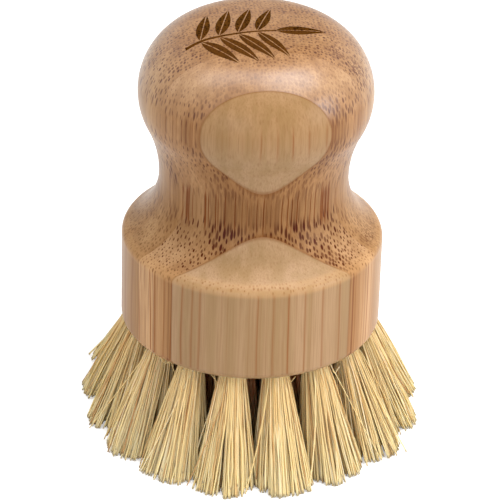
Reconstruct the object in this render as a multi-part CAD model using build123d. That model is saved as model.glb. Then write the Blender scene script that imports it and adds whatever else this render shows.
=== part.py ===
from build123d import *
import math
import os

# A palm brush for vegetables: a turned handle of laminated bamboo, and three rings of plant-fibre tufts.
# Each tuft is folded over a flat anchor wire and driven into a splayed blind hole in the handle's underside.
# Z is up. The origin is under the middle of the brush, on the surface that its bristle tips stand on.
# The front is -Y, square to the glue lines between the bamboo plies.
# Lengths are in millimetres and angles in degrees.

# Bristles
bristle_reach = 21.2  # from the tips up to the underside of the handle
tuft_gap = 0.4  # between the tips of neighbouring tufts of a ring

# Turned handle
base_radius = 25.0
wall_height = 19.3  # of the base's straight wall, its rounded edges included
low_neck_arc = 14.0  # radius of the hollow between the wall and the neck, seen from the side
high_neck_arc = 24.3  # radius of the hollow between the neck and the head, seen from the side
head_overhang = 4.15  # how far the head stands out over the neck
head_arc = 13.5  # radius of the head's side, seen from the side
crown_rise = 0.5  # of the middle of the crown above the top of the head's side arc
rim_round = 1.8
bottom_round = 1.6

# Bamboo block, glued up wider than the base and turned down to it
ply_count = 7
turning_allowance = 0.97  # taken off each side of the block at the base
neck_inside = 0.55  # how far the neck is turned in past the outermost glue lines

# Drilled holes
hole_radius = 2.5
hole_depth = 10.0  # to the shoulder of the drill's point
drill_point_angle = 118.0
fit_gap = 0.05  # between the wall of a hole and the tuft in it

# Flat anchor wire that a tuft is folded over
anchor_thickness = 0.4
anchor_height = 1.8
anchor_bite = 0.25  # past the wall of the hole, at each end
fold_share = 1.15  # radius of the fold over that of the bundle

# Rings of tufts: how many, the radius that their holes are drilled on over that of the base, how far they
# lean out, and where the first one is, counted from the front
outer_count = 16
outer_ring_share = 0.832
outer_lean_angle = 17.5
outer_start_angle = 8.25
middle_count = 10
middle_ring_share = 0.508
middle_lean_angle = 10.5
middle_start_angle = 20.0
inner_count = 4
inner_ring_share = 0.208
inner_lean_angle = 3.5
inner_start_angle = 45.0

# Strands of a tuft: one in the middle and two circles round it. A strand's radius is to its corners. Shares
# at the root are over the bundle's radius, and shares at the tip over the radius that the tuft fans out to.
strand_sides = 4
strand_bite = 1.5  # how deep a strand is rooted in the bundle
near_circle_count = 5
outer_far_count = 12
middle_far_count = 8
inner_far_count = 8
near_root_share = 0.39
far_root_share = 0.735
strand_root_share = 0.184
near_tip_share = 0.44
far_tip_share = 0.83
strand_tip_share = 0.232

# How far a cutting tool runs past what it cuts
overrun = 1.0

underside = bristle_reach
ply_thickness = 2 * (base_radius + turning_allowance) / ply_count
neck_radius = (ply_count / 2 - 1) * ply_thickness - neck_inside
head_radius = neck_radius + head_overhang
plug_radius = hole_radius - fit_gap
anchor_length = 2 * (hole_radius + anchor_bite)
anchor_top = hole_depth - plug_radius
fold_radius = fold_share * plug_radius


class Ring:
    """One ring of like tufts."""

    def __init__(self, name, count, ring_share, lean, start):
        self.name = name
        self.count = count
        self.radius = ring_share * base_radius
        self.lean = lean
        self.start = start
        tip_ring_radius = self.radius + bristle_reach * math.tan(math.radians(lean))
        self.fan_radius = tip_ring_radius * math.sin(math.pi / count) - tuft_gap / 2

    def hole_place(self):
        """The hole on the +X side: its mouth is the origin, Z runs up the hole and Y along the ring."""
        return Pos(self.radius, 0, underside) * Rot(0, -self.lean, 0)

    def turns(self):
        """The turn about the handle's axis that takes the +X side to each tuft's place."""
        return [Rot(0, 0, self.start - 90 + 360 * i / self.count) for i in range(self.count)]


outer_ring = Ring("outer", outer_count, outer_ring_share, outer_lean_angle, outer_start_angle)
outer_ring.far_count = outer_far_count
middle_ring = Ring("middle", middle_count, middle_ring_share, middle_lean_angle, middle_start_angle)
middle_ring.far_count = middle_far_count
inner_ring = Ring("inner", inner_count, inner_ring_share, inner_lean_angle, inner_start_angle)
inner_ring.far_count = inner_far_count
rings = [outer_ring, middle_ring, inner_ring]


def on_circle(centre, radius, towards):
    """The point of a circle that lies in the direction of another point."""
    return centre + (towards - centre).normalized() * radius


def handle_profile():
    """Half of the turned outline, with heights above the underside: straight wall, two hollow arcs that meet
    at the neck, round head arc and nearly flat crown arc."""
    low_centre_x = neck_radius + low_neck_arc
    neck_height = wall_height + math.sqrt(low_neck_arc**2 - (low_centre_x - base_radius) ** 2)
    arcs = high_neck_arc + head_arc
    belly_height = neck_height + math.sqrt(arcs**2 - (arcs - head_overhang) ** 2)
    head_centre = Vector(head_radius - head_arc, belly_height)
    low_centre = Vector(low_centre_x, neck_height)
    high_centre = Vector(neck_radius + high_neck_arc, neck_height)
    crown = Vector(0, belly_height + head_arc + crown_rise)
    crown_arc = (head_centre.X**2 + (head_arc + crown_rise) ** 2 - head_arc**2) / (2 * crown_rise)
    crown_centre = Vector(0, crown.Y - crown_arc)

    bottom = Vector(base_radius, 0)
    rim = Vector(base_radius, wall_height)
    neck = Vector(neck_radius, neck_height)
    hollow = on_circle(low_centre, low_neck_arc, (rim + neck) / 2)
    neck_end = on_circle(high_centre, high_neck_arc, head_centre)
    flank = on_circle(high_centre, high_neck_arc, (neck + neck_end) / 2)
    belly = Vector(head_radius, belly_height)
    crown_edge = on_circle(crown_centre, crown_arc, head_centre)
    crown_middle = on_circle(crown_centre, crown_arc, (crown_edge + crown) / 2)

    outline = Polyline(crown, Vector(0, 0), bottom, rim)
    outline += ThreePointArc(rim, hollow, neck)
    outline += ThreePointArc(neck, flank, neck_end)
    outline += ThreePointArc(neck_end, belly, crown_edge)
    outline += ThreePointArc(crown_edge, crown_middle, crown)
    return make_face(outline)


def turned_handle():
    """The whole turned block before drilling, with its rim and its bottom edge rounded."""
    block = Pos(0, 0, underside) * revolve(Plane.XZ * handle_profile(), Axis.Z)
    bottom_edge = block.edges().filter_by(GeomType.CIRCLE).sort_by(Axis.Z)[0]
    block = fillet(bottom_edge, bottom_round)
    wall = block.faces().filter_by(GeomType.CYLINDER)[0]
    rim_edge = wall.edges().filter_by(GeomType.CIRCLE).sort_by(Axis.Z)[-1]
    return fillet(rim_edge, rim_round)


def anchor():
    """The flat wire across a hole, under the fold of its tuft, with its ends in the wood."""
    return Pos(0, 0, anchor_top - anchor_height / 2) * Box(anchor_thickness, anchor_length, anchor_height)


def drilled_hole():
    """What the drill and the anchor's bite take out of the wood, from the mouth up along Z."""
    point_length = hole_radius / math.tan(math.radians(drill_point_angle / 2))
    barrel_length = hole_depth + overrun
    barrel = Pos(0, 0, hole_depth - barrel_length / 2) * Cylinder(hole_radius, barrel_length)
    point = Pos(0, 0, hole_depth + point_length / 2) * Cone(hole_radius, 0, point_length)
    return barrel + point + anchor()


def folded_bundle():
    """The bundle in its hole, rounded over at the top, where it folds, and slotted for its anchor."""
    bundle = Pos(0, 0, hole_depth / 2) * Cylinder(plug_radius, hole_depth)
    fold_height = hole_depth - anchor_top
    top = Pos(0, 0, anchor_top + fold_height / 2) * Box(2 * hole_radius, 2 * hole_radius, fold_height)
    fold = Pos(0, 0, hole_depth - fold_radius) * Rot(90, 0, 0) * Cylinder(fold_radius, 2 * hole_radius)
    return bundle - (top - fold) - anchor()


def strand(root_circle, tip_circle, angle, run, fan_radius):
    """One tapered strand, from inside the bundle down to its tip, one of its flats facing out."""
    flat_out = Rot(0, 0, 180 / strand_sides)
    root_place = Rot(0, 0, angle) * Pos(root_circle, 0, strand_bite) * flat_out
    tip_place = Rot(0, 0, angle) * Pos(tip_circle, 0, -run) * flat_out
    root = root_place * RegularPolygon(strand_root_share * plug_radius, strand_sides)
    tip = tip_place * RegularPolygon(strand_tip_share * fan_radius, strand_sides)
    return loft([root, tip], ruled=True)


def tuft(ring):
    """The ring's tuft on the +X side: a folded bundle with its strands, trimmed flat where it stands."""
    lean = math.radians(ring.lean)
    run = (bristle_reach + ring.fan_radius * math.sin(lean)) / math.cos(lean) + overrun
    circles = [(0, 0, 1), (near_root_share, near_tip_share, near_circle_count)]
    circles.append((far_root_share, far_tip_share, ring.far_count))
    strands = []
    for root_share, tip_share, count in circles:
        root_circle = root_share * plug_radius
        tip_circle = tip_share * ring.fan_radius
        for i in range(count):
            strands.append(strand(root_circle, tip_circle, 360 * i / count, run, ring.fan_radius))
    whole = ring.hole_place() * folded_bundle().fuse(*strands)
    ground = Pos(ring.radius, 0, -run / 2) * Box(2 * run, 2 * run, run)
    return whole - ground


def plies(block):
    """The block cut along its glue lines, front first. The outer plies reach as far as they were turned."""
    reach = block.bounding_box().max.Z + overrun
    cut = []
    for i in range(ply_count):
        front = -reach if i == 0 else (i - ply_count / 2) * ply_thickness
        back = reach if i == ply_count - 1 else (i + 1 - ply_count / 2) * ply_thickness
        slab = Pos(0, (front + back) / 2, 0) * Box(2 * reach, back - front, 2 * reach)
        cut.append(block & slab)
    return cut


def export_handle(block):
    """One file a ply. The neck is turned right through the outer plies, which leaves a base and a head."""
    for i, ply in enumerate(plies(block), 1):
        pieces = ply.solids().sort_by(Axis.Z)
        endings = ("_base", "_head") if len(pieces) > 1 else ("",)
        for piece, ending in zip(pieces, endings):
            export_step(piece, f"parts/bamboo_ply_{i}{ending}.step")


def main():
    os.makedirs("parts", exist_ok=True)
    holes = [turn * ring.hole_place() * drilled_hole() for ring in rings for turn in ring.turns()]
    export_handle(turned_handle().cut(*holes))
    anchors = []
    for ring in rings:
        ring_tuft = tuft(ring)
        for i, turn in enumerate(ring.turns(), 1):
            export_step(turn * ring_tuft, f"parts/{ring.name}_tuft_{i:02d}.step")
            anchors.append(turn * ring.hole_place() * anchor())
    export_step(Compound(children=anchors), "parts/anchor_wires.step")


main()
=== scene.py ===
import math
import random

import bpy
from mathutils import Matrix, Vector


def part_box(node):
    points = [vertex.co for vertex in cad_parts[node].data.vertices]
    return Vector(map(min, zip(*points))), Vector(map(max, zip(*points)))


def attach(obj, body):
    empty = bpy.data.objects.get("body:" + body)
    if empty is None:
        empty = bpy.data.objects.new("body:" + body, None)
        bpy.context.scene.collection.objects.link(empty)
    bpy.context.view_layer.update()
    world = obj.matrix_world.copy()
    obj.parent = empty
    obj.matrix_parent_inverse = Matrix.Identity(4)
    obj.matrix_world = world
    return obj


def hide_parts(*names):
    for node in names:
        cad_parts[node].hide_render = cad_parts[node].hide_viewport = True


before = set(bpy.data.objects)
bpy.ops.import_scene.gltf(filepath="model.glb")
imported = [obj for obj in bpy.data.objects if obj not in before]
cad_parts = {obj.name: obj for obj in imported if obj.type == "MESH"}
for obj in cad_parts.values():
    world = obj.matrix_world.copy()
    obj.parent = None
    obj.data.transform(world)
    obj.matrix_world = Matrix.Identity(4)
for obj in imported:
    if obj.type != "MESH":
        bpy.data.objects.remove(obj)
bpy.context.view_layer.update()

# A palm brush for vegetables: a turned, oiled handle of laminated bamboo over a splayed head of plant fibre.
# Z is up, the front is -Y, and the surface that the bristle tips stand on is at Z = 0. Lengths are in metres.

MM = 0.001

# Places taken from the frame
ply_low, ply_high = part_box("bamboo_ply_4")
underside = ply_low.z
crown_height = ply_high.z
base_radius = ply_high.x
ply_thickness = ply_high.y - ply_low.y

ply_count = 7
wall_height = 19.3 * MM  # of the base's straight wall, its rounded edges included
rim_height = underside + wall_height

# The photographer's place, solved from the handle's outline
camera_azimuth = math.radians(-6.1)
camera_elevation = math.radians(30.0)
camera_distance = 577 * MM
camera_roll = math.radians(-1.587)
target_right = -0.31 * MM
target_height = 35.3 * MM
lens_mm = 215.9
sensor_mm = 36.0


def linear(code):
    """A colour written as an sRGB hex value, in linear light and opaque."""
    channels = [int(code[i:i + 2], 16) / 255 for i in (1, 3, 5)]
    return tuple(c / 12.92 if c <= 0.04045 else ((c + 0.055) / 1.055) ** 2.4 for c in channels) + (1.0,)


def add(tree, kind, inputs=(), stops=(), **settings):
    """Adds a shader node and gives its outputs. Inputs are in the node's own order, or by name or number, and
    each is a value, a hex colour or another node's output. Stops are a colour ramp's places and values."""
    node = tree.nodes.new(kind)
    for name, value in settings.items():
        setattr(node, name, value)
    for i, (at, value) in enumerate(stops):
        elements = node.color_ramp.elements
        element = elements[i] if i < len(elements) else elements.new(at)
        element.position = at
        element.color = linear(value) if isinstance(value, str) else (value, value, value, 1.0)
    for name, value in inputs.items() if isinstance(inputs, dict) else enumerate(inputs):
        if isinstance(value, bpy.types.NodeSocket):
            tree.links.new(value, node.inputs[name])
        else:
            node.inputs[name].default_value = linear(value) if isinstance(value, str) else value
    return node.outputs


def new_material(name):
    """A new material with no nodes yet, and its node tree."""
    material = bpy.data.materials.new(name)
    material.use_nodes = True
    material.node_tree.nodes.clear()
    return material, material.node_tree


def put_on(piece, material):
    """Makes the material the piece's only one."""
    piece.data.materials.clear()
    piece.data.materials.append(material)


# Blender's names for the nodes that are used most
MATH = "ShaderNodeMath"
VECTOR = "ShaderNodeVectorMath"
SPLIT = "ShaderNodeSeparateXYZ"
RANGE = "ShaderNodeMapRange"
RAMP = "ShaderNodeValToRGB"
MIX = "ShaderNodeMix"
NOISE = "ShaderNodeTexNoise"
VORONOI = "ShaderNodeTexVoronoi"
SMOOTH = {"interpolation_type": "SMOOTHSTEP"}


def shares(table, low, high):
    """A table of (place, value), with its places as shares of the way from low to high."""
    return [((at - low) / (high - low), value) for at, value in table]


# The handle's sizes in millimetres, which the bamboo's pattern is drawn in
edge = base_radius / MM
top = crown_height / MM
thick = ply_thickness / MM
rim = rim_height / MM

# Bamboo's pattern, in millimetres. A pace is how many waves a millimetre holds, across, back and up. A shift
# is how far a pattern moves from one ply to the next. A tilt is 0 on an upright face and 1 on a level one.
grain_wander = 1.4
wander_pace = (0.07, 0.07, 0.03)
wander_shift = (7.3, 2.4, 0)
pattern_shift = (11.1, 3.7, 0)
bundle_disorder = 0.62
bundle_tilts = (0.03, 0.22)  # a bundle is a streak up to the first tilt, and a dot from the second
small_bundle_share = 0.65  # of the look's size
big_bundle_share = 1.2
bundle_core_share = 0.5  # of a bundle's size, which is dark all through
faint_bundle_share = 0.45  # of the look's strength
line_tilts = (0.08, 0.4)  # lines are full up to the first tilt, and gone from the second
line_core = 0.03  # from a line's middle, as are the next two
line_reach = 0.13
mark_reach = 0.24
faint_line_share = 0.1  # of the look's strength
line_chances = (0.1, 0.9)  # the faintest lines' and the strongest ones'
fibre_pace = (4.0, 4.0, 0.09)  # real fibres are too fine to show, so they are drawn ten times as coarse
fibre_noise = (0.35, 0.75)  # where the pattern starts to show and where it is full, as in the next two
band_noise = (0.3, 0.7)
figure_noise = (0.44, 0.6)
fibre_strength = 0.55
band_pace = (0.45, 0.45, 0.012)
figure_pace = (0.9, 2.0, 2.0)
figure_core_share = 0.2  # of a figure's reach
figure_strength = 0.8
glue_width = 0.05  # on each side of a joint
glue_soak = 0.2  # as far as the glue has darkened the wood
glue_colour = "#6e4522"
# A painted highlight on the rounded rim: a lighter, yellower band
rim_highlight_band = ((-1.4, 0), (-0.9, 0.25), (0.8, 0.25), (1.2, 0))  # up from the rim, and how strong its colour is
rim_highlight_colour = "#b98f60"
pore_depth = 0.04


def make_bamboo(name, index, look):
    """Caramel bamboo, turned, sanded and lightly oiled. It is a solid pattern: fibre bundles run up the ply,
    so they show as dots where the wood is cut across, and as thin streaks where it is cut along."""
    material, tree = new_material(name)
    front = (index - 1 - ply_count / 2) * thick
    place = add(tree, "ShaderNodeTexCoord")["Object"]
    mm = add(tree, VECTOR, {0: place, "Scale": 1 / MM}, operation="SCALE")[0]
    x, y, z = add(tree, SPLIT, [mm])
    depth = add(tree, RANGE, [y, front, front + thick])[0]
    height = add(tree, RANGE, [z, 0.0, top])[0]
    width = add(tree, RANGE, [x, -edge, edge])[0]
    upward = add(tree, SPLIT, [add(tree, "ShaderNodeNewGeometry")["Normal"]])[2]
    tilt = add(tree, MATH, [upward], operation="ABSOLUTE")[0]
    steep = add(tree, RANGE, [tilt, *line_tilts, 1.0, 0.0], **SMOOTH)[0]

    # The grain wanders by a few tenths of a millimetre over the handle's height, and each ply has its own
    # part of the pattern
    ply_wander = [step * index for step in wander_shift]
    slow = add(tree, VECTOR, [mm, wander_pace, ply_wander], operation="MULTIPLY_ADD")[0]
    wander = add(tree, NOISE, {0: slow, "Scale": 1.0, "Detail": 1.0})["Color"]
    grain = add(tree, VECTOR, [wander, (grain_wander, grain_wander, 0), mm], operation="MULTIPLY_ADD")[0]
    cut = add(tree, VECTOR, [grain, [step * index for step in pattern_shift]], operation="ADD")[0]

    # Fibre bundles, thickest a little behind the ply's front, which was next to the skin of the cane
    pattern = {"Vector": cut, "Scale": 1 / look["spacing"], "Randomness": bundle_disorder}
    bundles = add(tree, VORONOI, pattern, voronoi_dimensions="2D")
    chance = add(tree, "ShaderNodeSeparateColor", [bundles["Color"]])
    across = add(tree, RAMP, [width], shares(look["strips"], -edge, edge))[0]
    skin = add(tree, RAMP, [depth], shares(look["depths"], 0.0, thick))[0]
    smallest, biggest = small_bundle_share * look["size"], big_bundle_share * look["size"]
    varied = add(tree, RANGE, [chance[0], 0.0, 1.0, smallest, biggest], **SMOOTH)[0]
    size = add(tree, MATH, [across, skin], operation="MULTIPLY")[0]
    size = add(tree, MATH, [size, varied], operation="MULTIPLY")[0]
    core = add(tree, MATH, [size, bundle_core_share], operation="MULTIPLY")[0]
    dots = add(tree, RANGE, [bundles["Distance"], core, size, 1.0, 0.0], **SMOOTH)[0]
    strength = add(tree, RANGE, [tilt, *bundle_tilts, look["streak"], look["dot"]], **SMOOTH)[0]
    by_height = add(tree, RAMP, [height], shares(look["heights"], 0.0, top))[0]
    strength = add(tree, MATH, [strength, by_height], operation="MULTIPLY")[0]
    by_chance = add(tree, RANGE, [chance[1], 0.0, 1.0, faint_bundle_share, 1.0])[0]
    strength = add(tree, MATH, [strength, by_chance], operation="MULTIPLY")[0]
    dots = add(tree, MATH, [dots, strength], operation="MULTIPLY", use_clamp=True)[0]

    # Thin reddish lines up the steep faces, scattered ones and then the ply's own marks
    spacing = look["line_spacing"]
    sideways = add(tree, SPLIT, [cut])[0]
    lines = add(tree, VORONOI, {"W": sideways, "Scale": 1 / spacing}, voronoi_dimensions="1D")
    line_chance = add(tree, "ShaderNodeSeparateColor", [lines["Color"]])[0]
    line_span = [line_core / spacing, line_reach / spacing]
    line = add(tree, RANGE, [lines["Distance"], *line_span, 1.0, 0.0], **SMOOTH)[0]
    faintest = faint_line_share * look["line"]
    weight = add(tree, RANGE, [line_chance, *line_chances, faintest, look["line"]], **SMOOTH)[0]
    line = add(tree, MATH, [line, weight], operation="MULTIPLY")[0]
    if look["marks"]:
        marks = []
        for at, high in look["marks"]:
            marks += [(at - mark_reach, 0), (at, high), (at + mark_reach, 0)]
        middle = grain_wander / 2
        across_grain = add(tree, SPLIT, [grain])[0]
        straight = add(tree, RANGE, [across_grain, middle - edge, middle + edge])[0]
        marked = add(tree, RAMP, [straight], shares(marks, -edge, edge))[0]
        line = add(tree, MATH, [line, marked], operation="MAXIMUM")[0]
    line = add(tree, MATH, [line, steep], operation="MULTIPLY")[0]
    by_height = add(tree, RAMP, [height], shares(look["line_heights"], 0.0, top))[0]
    line = add(tree, MATH, [line, by_height], operation="MULTIPLY")[0]

    # Fine fibres between the bundles, broad bands of tone, and the colour they add up to
    fibre_place = add(tree, VECTOR, [cut, fibre_pace], operation="MULTIPLY")[0]
    fine = add(tree, NOISE, {0: fibre_place, "Scale": 1.0, "Detail": 3.0, "Roughness": 0.6})["Fac"]
    fine = add(tree, RANGE, [fine, *fibre_noise, 0.0, fibre_strength], **SMOOTH)[0]
    band_place = add(tree, VECTOR, [cut, band_pace], operation="MULTIPLY")[0]
    bands = add(tree, NOISE, {0: band_place, "Scale": 1.0, "Detail": 2.0})["Fac"]
    bands = add(tree, RANGE, [bands, *band_noise], **SMOOTH)[0]
    colour = add(tree, MIX, {0: bands, 6: look["dark"], 7: look["light"]}, data_type="RGBA")[2]
    colour = add(tree, MIX, {0: fine, 6: colour, 7: look["fibre"]}, data_type="RGBA")[2]
    colour = add(tree, MIX, {0: line, 6: colour, 7: look["red"]}, data_type="RGBA")[2]
    colour = add(tree, MIX, {0: dots, 6: colour, 7: look["bundle"]}, data_type="RGBA")[2]

    # Crossed, broken grain round the places where the cane had its joints
    if look["figures"]:
        grown = 0.0
        for centre, reach in look["figures"]:
            away = add(tree, VECTOR, [mm, centre], operation="DISTANCE")["Value"]
            near = add(tree, RANGE, [away, figure_core_share * reach, reach, 1.0, 0.0], **SMOOTH)[0]
            grown = add(tree, MATH, [grown, near], operation="MAXIMUM")[0]
        figure_place = add(tree, VECTOR, [mm, figure_pace], operation="MULTIPLY")[0]
        figure = {0: figure_place, "Scale": 1.0, "Detail": 3.0, "Roughness": 0.7, "Distortion": 1.2}
        figure = add(tree, NOISE, figure)["Fac"]
        figure = add(tree, RANGE, [figure, *figure_noise, 0.0, figure_strength], **SMOOTH)[0]
        figure = add(tree, MATH, [figure, grown], operation="MULTIPLY")[0]
        colour = add(tree, MIX, {0: figure, 6: colour, 7: look["bundle"]}, data_type="RGBA")[2]

    # The wood is deeper in tone towards the cane's skin. From the base up to the crown its colour carries
    # painted light and shade, chiefly painted shade on the neck under the head
    grade = add(tree, RAMP, [depth], shares(look["grades"], 0.0, thick))[0]
    colour = add(tree, MIX, {0: 1.0, 6: colour, 7: grade}, data_type="RGBA", blend_type="MULTIPLY")[2]
    tone = add(tree, RAMP, [height], shares(look["tones"], 0.0, top))[0]
    colour = add(tree, MIX, {0: 1.0, 6: colour, 7: tone}, data_type="RGBA", blend_type="MULTIPLY")[2]

    # Glue lines at the ply's front and back
    glue = [(0.0, look["front_glue"]), (glue_width, look["front_glue"]), (glue_soak, 0.0)]
    glue += [(thick - glue_soak, 0.0), (thick - glue_width, look["back_glue"]), (thick, look["back_glue"])]
    glued = add(tree, RAMP, [depth], shares(glue, 0.0, thick))[0]
    colour = add(tree, MIX, {0: glued, 6: colour, 7: glue_colour}, data_type="RGBA")[2]

    # A painted highlight on the rounded rim, as a band of lighter, yellower colour
    band = [(rim + up, value) for up, value in rim_highlight_band]
    rim_highlight = add(tree, RAMP, [height], shares(band, 0.0, top))[0]
    colour = add(tree, MIX, {0: rim_highlight, 6: colour, 7: rim_highlight_colour}, data_type="RGBA")[2]

    relief = {"Strength": 0.35, "Distance": pore_depth * MM, "Height": dots}
    bump = add(tree, "ShaderNodeBump", relief, invert=True)[0]

    # The palm keeps the head polished, and the rest is dull
    polish = add(tree, RAMP, [height], shares(look["polish"], 0.0, top))[0]
    oiled = {"Roughness": 0.32, "IOR": 1.5, "Specular IOR Level": polish}
    shader = add(tree, "ShaderNodeBsdfPrincipled", {**oiled, "Base Color": colour, "Normal": bump})[0]
    add(tree, "ShaderNodeOutputMaterial", {"Surface": shader})
    return material


# How the plies look. A table goes from places to a share or a colour at each, or from a mark's place to its
# strength. Places are in millimetres: across from the middle for strips and marks, back from the ply's front
# for depths and grades, and up from the ground for the rest. A bundle's size is over the spacing of bundles.
# A figure is the middle of some crossed grain, and how far it reaches.
# Painted shade: the neck is darker where the head shades it. The crown is a little darker from 81 mm up
NECK_PAINTED_SHADE = [(0, "#ffffff"), (44, "#ffffff"), (49, "#e6dfd6"), (54, "#e6dfd6"), (60, "#efe9e1"),
              (67, "#ffffff"), (77, "#ffffff"), (81, "#f1e7da"), (top, "#ecdfcd")]
PLAIN = {
    "spacing": 0.72, "size": 0.4, "dot": 1.0, "streak": 0.15,
    "strips": [(-edge, 1.0), (edge, 1.0)],
    "depths": [(0, 0.6), (0.6, 0.95), (1.5, 1.1), (3, 1.0), (thick, 0.85)],
    "heights": [(0, 0.55), (52, 0.6), (56, 1.0), (top, 1.0)],
    "line": 0.6, "line_spacing": 1.1, "marks": [],
    "line_heights": [(0, 1.0), (56, 1.0), (60, 0.5), (top, 0.5)],
    "figures": [],
    "tones": NECK_PAINTED_SHADE,
    "grades": [(0, "#f1eae2"), (1.5, "#f8f4ef"), (4, "#ffffff"), (thick, "#ffffff")],
    "front_glue": 0.1, "back_glue": 0.1,
    "polish": [(0, 0.04), (60, 0.06), (72, 0.15), (76.5, 0.62), (81, 0.62), (83, 0.2), (top, 0.2)],
    "light": "#a8845d", "dark": "#95714c", "fibre": "#825e3c", "bundle": "#55290e", "red": "#784520",
}


def look_of(**changes):
    """The plain look with some of it changed."""
    return {**PLAIN, **changes}


PLIES = {
    1: look_of(size=0.3, dot=0.25, streak=0.12,
               heights=[(0, 1.0), (39.9, 1.0), (40.3, 4.0), (41.1, 4.0), (41.5, 1.0), (top, 1.0)],
               line=0.2, line_spacing=1.3,
               marks=[(-14.8, 0.9), (-13.1, 0.7), (-11.8, 0.8), (-1.2, 0.8), (1.8, 0.7), (4.7, 1.0),
                      (7.8, 0.7), (11.2, 0.8), (14.6, 0.9)],
               line_heights=[(0, 1.0), (56, 1.0), (60, 0.2), (65, 0.9), (71, 0.9), (74, 0.2), (top, 0.2)],
               # Painted highlight in a band just above the rim, and painted shade on the upper part of the
               # oval
               tones=[(0, 1.0), (40.5, 1.0), (41.3, 1.15), (42.6, 1.08), (44.5, 0.95), (49, 0.95), (57, 0.95),
                      (66, 0.96), (71, "#f6eedf"), (top, "#f6eedf")],
               grades=[(0, "#ffffff"), (thick, "#ffffff")],
               back_glue=0.6, polish=[(0, 0.12), (top, 0.12)],
               light="#987a5b", dark="#8a6e4c", fibre="#806141", bundle="#6c421f"),
    2: look_of(spacing=0.68, size=0.37, streak=0.4,
               strips=[(-edge, 0.85), (-9.5, 0.85), (-9, 1.2), (17.5, 1.2), (18, 0.85), (edge, 0.85)],
               depths=[(0, 1.05), (0.6, 1.1), (1.5, 1.1), (3, 1.0), (thick, 0.85)],
               heights=[(0, 0.9), (43, 1.0), (46, 1.2), (48, 1.2), (52, 1.1), (54, 0.6), (59, 0.5), (62, 0.8),
                        (70, 0.9), (75, 0.9), (77.5, 0.4), (79, 0.3), (81.5, 0.35), (82.5, 0.7), (top, 0.7)],
               line=1.0, line_spacing=0.9,
               marks=[(-14.4, 0.8), (-13.6, 0.9), (-10.4, 0.8), (11.5, 0.9), (12.1, 1.0), (12.7, 0.9),
                      (17.6, 0.8)],
               line_heights=[(0, 1.0), (48, 1.0), (50, 2.2), (55, 2.2), (57, 0.6), (61, 0.3), (66, 0.6),
                             (72, 0.6), (74, 0.2), (top, 0.2)],
               # Lighter on the base, painted shade on the neck where the head shades it, and the crown a
               # little darker from 81 mm up
               tones=[(0, 1.16), (40, 1.12), (43.5, "#ffffff"), (48, "#d8cfc3"), (54, "#d8cfc3"),
                      (59, "#ece4da"), (66, "#ede4d8"), (75, "#ede4d8"), (78, "#ffffff"), (81, "#f1e7da"),
                      (top, "#ecdfcd")],
               grades=[(0, "#e6dccf"), (1.5, "#ebe3d8"), (4, "#ffffff"), (thick, "#ffffff")],
               front_glue=0.5,
               light="#ab8762", dark="#977350", bundle="#4e1c06"),
    3: look_of(strips=[(-edge, 0.9), (1.5, 0.9), (2.5, 1.05), (edge, 1.05)],
               figures=[((-13.5, -5.5, 82.0), 4.2), ((13.5, -8.0, 81.2), 3.2), ((17.5, -8.1, 78.0), 3.6),
                        ((21.6, -7.4, 42.0), 4.0)]),
    4: look_of(strips=[(-edge, 1.0), (-4, 0.9), (18, 1.0), (edge, 1.0)]),
    5: look_of(strips=[(-edge, 0.9), (3, 1.05), (edge, 1.05)]),
    6: look_of(),
    7: look_of(size=0.24, dot=0.35, streak=0.2, line_spacing=2.1),
}
BURNT = look_of(tones=[(0, "#ffffff"), (top, "#ffffff")], polish=[(0, 0.0), (top, 0.0)],
                light="#573511", dark="#472b0d", fibre="#382009", bundle="#1d0c02")


def dress_handle():
    """Each ply keeps its solid and gets its own cut of bamboo."""
    for index, look in PLIES.items():
        material = make_bamboo(f"oiled_bamboo_{index}", index, look)
        for name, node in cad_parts.items():
            if name.startswith(f"bamboo_ply_{index}"):
                put_on(node, material)


def dress_anchors():
    """Flat drawn steel wire, smooth and grey, seen only through the roots of the tufts."""
    material, tree = new_material("drawn_steel")
    steel = {"Base Color": "#a9a9a4", "Metallic": 1.0, "Roughness": 0.34}
    shader = add(tree, "ShaderNodeBsdfPrincipled", steel)[0]
    add(tree, "ShaderNodeOutputMaterial", {"Surface": shader})
    put_on(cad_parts["anchor_wires"], material)


# A burnt-in sprig on the crown: a bowed stem with leaves in pairs and one at the end, each halved by its rib.
# Lengths are in millimetres, and places are from the crown's middle.
stem_start = (-13.8, -6.4)
stem_end = (3.0, -3.4)
stem_bow = 0.5
stem_width = 0.6
stem_foot_share = 1.2  # of that width, where the stem starts
stem_tip_share = 0.6
stem_steps = 24
leaf_pairs = 4
first_leaf_share = 0.16  # of the way along the stem
leaf_length = 11.0
leaf_width = 2.45
leaf_angle = 64
leaf_fullness = 0.8  # below 1, a leaf is widest nearer to its foot
fullest_leaf_share = 0.45  # of the way along the stem
leaf_shrink = 0.3  # how fast leaves get smaller away from there
end_leaf_share = 1.4  # how much wider the end leaf is
rib_gap = 0.22
leaf_foot = 0.45  # from the stem's middle to the foot of a leaf
leaf_steps = 10
skin_steps = 3  # across the stem or half a leaf
burn_thickness = 0.05
burn_offset = 0.4  # at 1 the slips would lie on the crown, and at -1 under its skin
feeler_height = 10.0  # above the crown
merge_distance = 0.001


def crown_at(x, y):
    """The point of the crown's surface under a place given in millimetres."""
    graph = bpy.context.evaluated_depsgraph_get()
    above = Vector((x * MM, y * MM, crown_height + feeler_height * MM))
    return bpy.context.scene.ray_cast(graph, above, Vector((0, 0, -1)))[1]


def on_stem(share):
    """The place and the heading, in radians, of a point along the stem."""
    dx, dy = stem_end[0] - stem_start[0], stem_end[1] - stem_start[1]
    length = math.hypot(dx, dy)
    bow = 4 * stem_bow * share * (1 - share)
    place = (stem_start[0] + dx * share - dy / length * bow, stem_start[1] + dy * share + dx / length * bow)
    return place, math.atan2(dy, dx) + math.atan(4 * stem_bow * (1 - 2 * share) / length)


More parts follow.
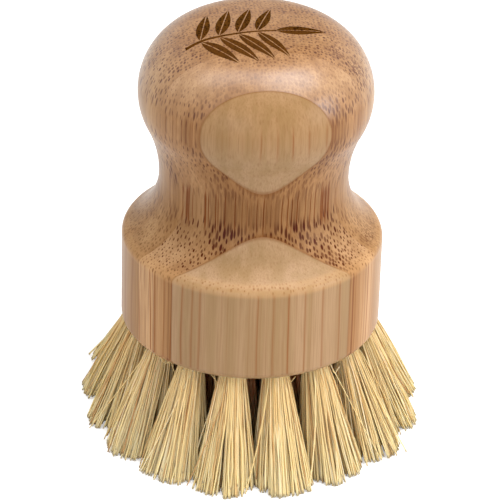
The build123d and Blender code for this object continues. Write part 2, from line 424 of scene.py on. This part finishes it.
def strip(near, far):
    """A strip of the crown's skin between two edges, as rows of points from the near edge to the far one."""
    rows = []
    for (x0, y0), (x1, y1) in zip(near, far):
        row = []
        for k in range(skin_steps + 1):
            row.append(crown_at(x0 + (x1 - x0) * k / skin_steps, y0 + (y1 - y0) * k / skin_steps))
        rows.append(row)
    return rows


def half_leaf(place, heading, foot, length, width, side):
    """One half of a leaf, from its rib out to its edge."""
    near, far = [], []
    for k in range(leaf_steps + 1):
        share = k / leaf_steps
        along = foot + (length - foot) * share
        out = rib_gap / 2 + width / 2 * math.sin(math.pi * share ** leaf_fullness)
        for edge_points, across in ((near, rib_gap / 2), (far, out)):
            edge_points.append((place[0] + along * math.cos(heading) - side * across * math.sin(heading),
                                place[1] + along * math.sin(heading) + side * across * math.cos(heading)))
    return strip(near, far)


def sprig_strips():
    """The stem's strip of skin, and then those of each leaf's two halves."""
    strips = []
    near, far = [], []
    for k in range(stem_steps + 1):
        place, heading = on_stem(k / stem_steps)
        thinning = (stem_foot_share - stem_tip_share) * k / stem_steps
        half = stem_width / 2 * (stem_foot_share - thinning)
        near.append((place[0] + half * math.sin(heading), place[1] - half * math.cos(heading)))
        far.append((place[0] - half * math.sin(heading), place[1] + half * math.cos(heading)))
    strips.append(strip(near, far))
    for i in range(leaf_pairs + 1):
        share = first_leaf_share + (1 - first_leaf_share) * i / leaf_pairs
        place, heading = on_stem(share)
        size = 1 - leaf_shrink * abs(share - fullest_leaf_share)
        end = i == leaf_pairs
        foot = 0.0 if end else leaf_foot
        width = leaf_width * size * (end_leaf_share if end else 1)
        for turn in (0,) if end else (leaf_angle, -leaf_angle):
            for side in (1, -1):
                aim = heading + math.radians(turn)
                strips.append(half_leaf(place, aim, foot, leaf_length * size, width, side))
    return strips


def make_sprig():
    """The burnt sprig, as thin closed slips that lie on the crown."""
    points, faces = [], []
    for rows in sprig_strips():
        first = len(points)
        width = len(rows[0])
        points += [point for row in rows for point in row]
        for r in range(len(rows) - 1):
            for c in range(width - 1):
                k = first + r * width + c
                faces.append((k, k + width, k + width + 1, k + 1))
    mesh = bpy.data.meshes.new("burnt_sprig")
    mesh.from_pydata(points, [], faces)
    sprig = bpy.data.objects.new("burnt_sprig", mesh)
    bpy.context.scene.collection.objects.link(sprig)
    bpy.ops.object.select_all(action="DESELECT")
    sprig.select_set(True)
    bpy.context.view_layer.objects.active = sprig
    bpy.ops.object.mode_set(mode="EDIT")
    bpy.ops.mesh.select_all(action="SELECT")
    bpy.ops.mesh.remove_doubles(threshold=merge_distance * MM)
    bpy.ops.mesh.normals_make_consistent(inside=False)
    bpy.ops.object.mode_set(mode="OBJECT")
    if mesh.polygons[0].normal.z < 0:
        mesh.flip_normals()
    solidify = sprig.modifiers.new("thickness", "SOLIDIFY")
    solidify.thickness = burn_thickness * MM
    solidify.offset = burn_offset
    bpy.ops.object.modifier_apply(modifier=solidify.name)
    put_on(sprig, make_bamboo("burnt_bamboo", 4, BURNT))
    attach(sprig, "root")


# Bristles: how the holes are drilled, and the fibres in them. Angles are in degrees. Splays are how many
# millimetres each tuft's tips have been pushed out by use and packing, counted from the first tuft.
outer_ring = {"name": "outer", "count": 16, "radius": 20.8 * MM, "lean": 17.5, "start": 8.25, "fibres": 460,
              "splays": [0.3, 0, 0, 1.0, 0.7, 0.4, 0.4, 0.2, 0.4, 1.2, 2.0, -0.2, -1.3, -1.3, -0.5, 0.2]}
middle_ring = {"name": "middle", "count": 10, "radius": 12.7 * MM, "lean": 10.5, "start": 20.0, "fibres": 280,
               "splays": [0] * 10}
inner_ring = {"name": "inner", "count": 4, "radius": 5.2 * MM, "lean": 3.5, "start": 45.0, "fibres": 200,
              "splays": [0] * 4}
tuft_overlap = 1.5 * MM
bundle_radius = 2.35 * MM
anchor_top = 7.55 * MM
anchor_half = 0.3 * MM  # half of the wire's thickness, and a little room
fibre_radius = 0.112 * MM
thickness_shares = (0.75, 1.15)  # of that radius, the thinnest fibre's and the thickest one's
tip_swell = 1.5
clump_count = 14
clump_spread_share = 0.95  # of the tuft's radius
clump_pull = 0.28
visible_steps = 5
fold_steps = 4
tube_sides = 4

# How fibres stray, in millimetres. Each spread is a standard deviation.
sway_spread = 0.14
bow_spread = 0.22
outward_spread = 0.22
sideways_spread = 0.34
loose_share = 0.05  # of the legs, which stray further
loose_outward_spread = 0.6
loose_sideways_spread = 1.1
even_share = 0.88  # of the legs, which are trimmed nearly flat
even_trims = (0.05, 0.5)
short_trims = (0.5, 2.4)
splay_power = 1.1  # above 1, fibres bend out towards their tips

# Single fibres that lie across the tufts: the angles of their roots and tips from the front, how far out
# their tips reach, and how high these are. Lengths are in millimetres.
stray_fibres = ((-60, -74, 33.0, 1.5), (-33, -44, 32.6, 0.8), (-14, -26, 32.4, 1.0), (4, -6, 32.2, 0.6),
                (27, 16, 32.4, 1.0), (36, 47, 32.6, 0.9), (58, 66, 31.4, 2.0))
stray_root_radius = 22.5
stray_power = 0.85  # below 1, they bow outwards
stray_steps = 7
stray_fibre_radius = 0.11

# Thin curled fibres under the edge of the handle: the angles of their two ends, how far they hang down, and
# how far round they curl, where 180 would bring them back up to the wood. Lengths are in millimetres.
curled_fibres = ((-25, -13, 2.1, 150), (-46, -37, 2.5, 165), (-54, -44, 1.1, 170), (35, 41, 2.6, 140),
                 (-22, -20, 3.6, 120), (11, 16, 1.6, 160))
curl_root_radius = 23.3
curl_drift = 0.5  # how much further out they end
curl_sunk = 0.1  # how deep their roots are in the wood
curl_ripple = 0.12  # of how far they hang down
curl_ripple_angle = 540
curl_steps = 13
curled_fibre_radius = 0.085


def hole_place(ring, i):
    """Where a hole's mouth is, with Z up the hole, X away from the brush's axis and Y along the ring."""
    turn = Matrix.Rotation(math.radians(ring["start"] - 90 + 360 * i / ring["count"]), 4, "Z")
    out = Matrix.Translation((ring["radius"], 0, underside))
    return turn @ out @ Matrix.Rotation(math.radians(-ring["lean"]), 4, "Y")


def fan_radius(ring):
    """How far a tuft spreads at its tips, where it mingles with its neighbours."""
    tip_ring_radius = ring["radius"] + underside * math.tan(math.radians(ring["lean"]))
    return tip_ring_radius * math.sin(math.pi / ring["count"]) + tuft_overlap / 2


def on_disc(rng):
    """A random place on a disc of radius 1."""
    angle = rng.uniform(0, 2 * math.pi)
    return Vector((math.cos(angle), math.sin(angle), 0)) * math.sqrt(rng.random())


def leg(place, root, tip, trim, rng):
    """One leg of a fibre, from its tip up to the mouth of its hole. It splays, and wavers a little."""
    sway = Vector((rng.gauss(0, sway_spread), rng.gauss(0, sway_spread), 0)) * MM
    bow = Vector((rng.gauss(0, bow_spread), rng.gauss(0, bow_spread), 0)) * MM
    length = (trim - underside - tip.x * place[2][0]) / place[2][2]
    points = []
    for k in range(visible_steps, 0, -1):
        share = k / visible_steps
        across = root.lerp(tip, share ** splay_power) + bow * math.sin(math.pi * share)
        across += sway * math.sin(2 * math.pi * share)
        points.append(Vector((across.x, across.y, length * share)))
    points.append(Vector((root.x, root.y, 0)))
    return points


def folded_fibre(place, ring, splay, clumps, rng):
    """A fibre's line in its hole's frame: up from one tip, over the anchor wire, and down to the other."""
    spot = on_disc(rng)
    spot.x = max(abs(spot.x), anchor_half / bundle_radius)
    legs = []
    for side in (1, -1):
        at = Vector((side * spot.x, spot.y, 0))
        clump = min(clumps, key=lambda c: (c - at).length)
        tip = at.lerp(clump, clump_pull) * fan_radius(ring)
        tip += Vector((rng.gauss(0, outward_spread) * MM + splay, rng.gauss(0, sideways_spread) * MM, 0))
        if rng.random() < loose_share:
            tip += Vector((rng.gauss(0, loose_outward_spread), rng.gauss(0, loose_sideways_spread), 0)) * MM
        trims = even_trims if rng.random() < even_share else short_trims
        legs.append(leg(place, at * bundle_radius, tip, rng.uniform(*trims) * MM, rng))
    reach = spot.x * bundle_radius
    fold = []
    for k in range(fold_steps + 1):
        bend = math.pi * k / fold_steps
        rise = anchor_top + reach * math.sin(bend)
        fold.append(Vector((reach * math.cos(bend), spot.y * bundle_radius, rise)))
    return legs[0] + fold + legs[1][::-1]


def tube_mesh(name, lines, radius, swell, rng):
    """Closed square tubes along lines, with each tube's tint and each point's place along it kept as
    attributes. A tube swells towards both of its ends."""
    curve = bpy.data.curves.new(name, "CURVE")
    curve.dimensions = "3D"
    curve.bevel_depth = radius
    curve.bevel_resolution = 0
    curve.use_fill_caps = True
    for line in lines:
        spline = curve.splines.new("POLY")
        spline.points.add(len(line) - 1)
        thickness = rng.uniform(*thickness_shares)
        for k, (point, at) in enumerate(zip(spline.points, line)):
            point.co = (*at, 1)
            from_middle = abs(2 * k / (len(line) - 1) - 1)
            point.radius = thickness * (1 + (swell - 1) * from_middle ** 2)
    tubes = bpy.data.objects.new(name, curve)
    bpy.context.scene.collection.objects.link(tubes)
    bpy.ops.object.select_all(action="DESELECT")
    tubes.select_set(True)
    bpy.context.view_layer.objects.active = tubes
    bpy.ops.object.convert(target="MESH")
    bpy.ops.object.shade_smooth()
    tubes = bpy.context.active_object
    mesh = tubes.data

    # The conversion lists the two square caps of every tube first, then each tube's squares from end to end
    shades = [rng.random() for _ in lines]
    tints, alongs = [], []
    for shade in shades:
        tints += [shade] * 2 * tube_sides
        alongs += [1.0] * 2 * tube_sides
    for line, shade in zip(lines, shades):
        tints += [shade] * tube_sides * len(line)
        for k in range(len(line)):
            alongs += [max(0.0, 1 - min(k, len(line) - 1 - k) / visible_steps)] * tube_sides
    for attribute, values in (("tint", tints), ("along", alongs)):
        mesh.attributes.new(attribute, "FLOAT", "POINT").data.foreach_set("value", values)
    return tubes


def make_tuft(ring, i, material):
    """One tuft of folded fibres, each with its own tint, in the place of the plain solid."""
    rng = random.Random(f"{ring['name']} {i}")
    place = hole_place(ring, i)
    clumps = [on_disc(rng) * clump_spread_share for _ in range(clump_count)]
    splay = ring["splays"][i] * MM
    lines = []
    for _ in range(ring["fibres"]):
        lines.append([place @ point for point in folded_fibre(place, ring, splay, clumps, rng)])
    tuft = tube_mesh(f"{ring['name']}_fibres_{i + 1:02d}", lines, fibre_radius, tip_swell, rng)
    put_on(tuft, material)
    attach(tuft, "root")
    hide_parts(f"{ring['name']}_tuft_{i + 1:02d}")


# Plant fibre. Its straw colours go from the few dark fibres to the palest. Places along a fibre are shares of
# the way from its hole to its tip.
straw_colours = [(0.0, "#c9a16b"), (0.08, "#dfc58d"), (0.2, "#ebdca9"), (0.6, "#f1e6b5"), (0.9, "#f6eec6"),
                 (1.0, "#faf4dc")]
# Painted shade: fibres darken towards their roots, up to this share of the way to the tip
root_shade_end_share = 0.85
cut_end_share = 0.97
cut_end_strength = 0.55
cut_end_colour = "#6f5436"
glow_colour = "#fbedc4"
translucent_share = 0.48


def make_fibre_material(name, root):
    """Undyed plant fibre, combed and cut: stiff, slightly glossy and translucent, from cream to straw.
    Towards the root its colour is painted shade, darker and warmer, where the tufts shade one another."""
    material, tree = new_material(name)
    tint = add(tree, "ShaderNodeAttribute", attribute_name="tint")["Fac"]
    along = add(tree, "ShaderNodeAttribute", attribute_name="along")["Fac"]
    colour = add(tree, RAMP, [tint], straw_colours)[0]
    # Painted shade towards the root, where the tufts shade one another
    tan = add(tree, RAMP, [along], [(0.0, root), (root_shade_end_share, "#ffffff")])[0]
    colour = add(tree, MIX, {0: 1.0, 6: colour, 7: tan}, data_type="RGBA", blend_type="MULTIPLY")[2]
    cut_end = add(tree, RANGE, [along, cut_end_share, 1.0, 0.0, cut_end_strength])[0]
    colour = add(tree, MIX, {0: cut_end, 6: colour, 7: cut_end_colour}, data_type="RGBA")[2]
    glow = add(tree, MIX, {0: 1.0, 6: colour, 7: glow_colour}, data_type="RGBA", blend_type="MULTIPLY")[2]
    body = add(tree, "ShaderNodeBsdfPrincipled", {"Base Color": colour, "Roughness": 0.5, "IOR": 1.45})[0]
    through = add(tree, "ShaderNodeBsdfTranslucent", [glow])[0]
    shader = add(tree, "ShaderNodeMixShader", [translucent_share, body, through])[0]
    add(tree, "ShaderNodeOutputMaterial", {"Surface": shader})
    return material


def polar(angle, radius, height):
    """A point by its angle in degrees from the front, counted to the right, and in millimetres out and up."""
    a = math.radians(angle)
    return Vector((radius * math.sin(a), -radius * math.cos(a), height)) * MM


def make_strays(material):
    """Single fibres that lie across the tufts, and thin curled ones that hang from the underside."""
    rng = random.Random("strays")
    mouth = underside / MM
    across = []
    for start, end, reach, low in stray_fibres:
        line = []
        for k in range(stray_steps + 1):
            share = k / stray_steps
            angle = start + (end - start) * share
            radius = stray_root_radius + (reach - stray_root_radius) * share ** stray_power
            line.append(polar(angle, radius, mouth + (low - mouth) * share))
        across.append(line)
    curls = []
    for start, end, drop, turn in curled_fibres:
        line = []
        for k in range(curl_steps + 1):
            share = k / curl_steps
            angle = start + (end - start) * share
            radius = curl_root_radius + curl_drift * share
            ripple = curl_ripple * math.sin(math.radians(curl_ripple_angle * share))
            fall = math.sin(math.radians(turn * share)) - ripple
            line.append(polar(angle, radius, mouth + curl_sunk - drop * fall))
        curls.append(line)
    for name, lines, radius in (("stray_fibres", across, stray_fibre_radius),
                                ("curled_fibres", curls, curled_fibre_radius)):
        piece = tube_mesh(name, lines, radius * MM, swell=1.0, rng=rng)
        put_on(piece, material)
        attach(piece, "root")


def make_tufts():
    """All three rings of tufts, the hidden ones with deeper painted shade towards their roots, and the stray
    fibres.
    """
    # The root colours are painted shade: slight for the outer ring, deep and reddish for the hidden rings
    outer = make_fibre_material("plant_fibre", "#fff4e4")
    inner = make_fibre_material("plant_fibre_with_painted_shade", "#f2965c")
    for ring in (outer_ring, middle_ring, inner_ring):
        for i in range(ring["count"]):
            make_tuft(ring, i, outer if ring is outer_ring else inner)
    make_strays(outer)


# Studio: how near and how far the camera sees, a pale room, a white card for a floor, and softboxes. Each
# softbox has its place, its width and its depth in metres, and its power in watts. A strength of 1 shows as
# white.
nearest_seen = 10 * MM
furthest_seen = 20.0
floor_size = 6.0
floor_glow = 0.4
room_strength = 0.55
white_strength = 1.0
softboxes = {
    "key": ((0.3, -0.22, 0.68), 0.5, 0.5, 3.7),
    "overhead": ((0.0, -0.11, 0.85), 1.5, 0.3, 6.0),
    "fill": ((-0.35, -0.77, 0.15), 0.5, 0.3, 2.2),
    "side": ((0.72, -0.42, 0.2), 0.4, 0.4, 3.8),
}


def make_camera():
    """The camera at the photographer's place, rolled a little as theirs was."""
    a, e = camera_azimuth, camera_elevation
    back = Vector((math.sin(a) * math.cos(e), -math.cos(a) * math.cos(e), math.sin(e)))
    right = Vector((math.cos(a), math.sin(a), 0))
    up = back.cross(right)
    target = right * target_right + Vector((0, 0, target_height))
    rolled_right = right * math.cos(camera_roll) - up * math.sin(camera_roll)
    rolled_up = right * math.sin(camera_roll) + up * math.cos(camera_roll)
    data = bpy.data.cameras.new("camera")
    data.lens = lens_mm
    data.sensor_width = sensor_mm
    data.clip_start = nearest_seen
    data.clip_end = furthest_seen
    camera = bpy.data.objects.new("camera", data)
    bpy.context.scene.collection.objects.link(camera)
    turn = Matrix((rolled_right, rolled_up, back)).transposed().to_4x4()
    camera.matrix_world = Matrix.Translation(target + back * camera_distance) @ turn
    bpy.context.scene.camera = camera


def add_light(name, place, width, depth, power):
    """A softbox that faces the middle of the brush."""
    data = bpy.data.lights.new(name, "AREA")
    data.shape = "RECTANGLE"
    data.energy = power
    data.size = width
    data.size_y = depth
    light = bpy.data.objects.new(name, data)
    bpy.context.scene.collection.objects.link(light)
    centre = Vector((0, 0, crown_height / 2))
    light.location = place
    light.rotation_mode = "QUATERNION"
    light.rotation_quaternion = (Vector(place) - centre).to_track_quat("Z", "Y")


def background_share(tree):
    """1 on the rays that show the background: straight from the camera, mirrored or seen through glass."""
    path = add(tree, "ShaderNodeLightPath")
    seen = add(tree, MATH, [path["Is Camera Ray"], path["Is Glossy Ray"]], operation="MAXIMUM")[0]
    return add(tree, MATH, [seen, path["Is Transmission Ray"]], operation="MAXIMUM")[0]


def make_world():
    """A pale room that lights the brush softly from all sides, and shows as white."""
    world = bpy.data.worlds.new("studio")
    bpy.context.scene.world = world
    world.use_nodes = True
    tree = world.node_tree
    tree.nodes.clear()
    strength = add(tree, RANGE, [background_share(tree), 0.0, 1.0, room_strength, white_strength])[0]
    background = add(tree, "ShaderNodeBackground", ["#ffffff", strength])[0]
    add(tree, "ShaderNodeOutputWorld", {"Surface": background})


def make_floor():
    """White card that takes the brush's soft shadow."""
    bpy.ops.object.select_all(action="DESELECT")
    bpy.ops.mesh.primitive_plane_add(size=floor_size, location=(0, 0, 0))
    floor = bpy.context.active_object
    floor.name = "floor"
    material, tree = new_material("white_card")
    diffuse = add(tree, "ShaderNodeBsdfDiffuse", ["#e6e6e6"])[0]
    strength = add(tree, RANGE, [background_share(tree), 0.0, 1.0, 0.0, floor_glow])[0]
    glow = add(tree, "ShaderNodeEmission", ["#ffffff", strength])[0]
    both = add(tree, "ShaderNodeAddShader", [diffuse, glow])[0]
    add(tree, "ShaderNodeOutputMaterial", {"Surface": both})
    put_on(floor, material)


make_camera()
bpy.context.scene.view_settings.view_transform = "Standard"
make_world()
make_floor()
for name, softbox in softboxes.items():
    add_light(name, *softbox)
dress_handle()
dress_anchors()
make_sprig()
make_tufts()
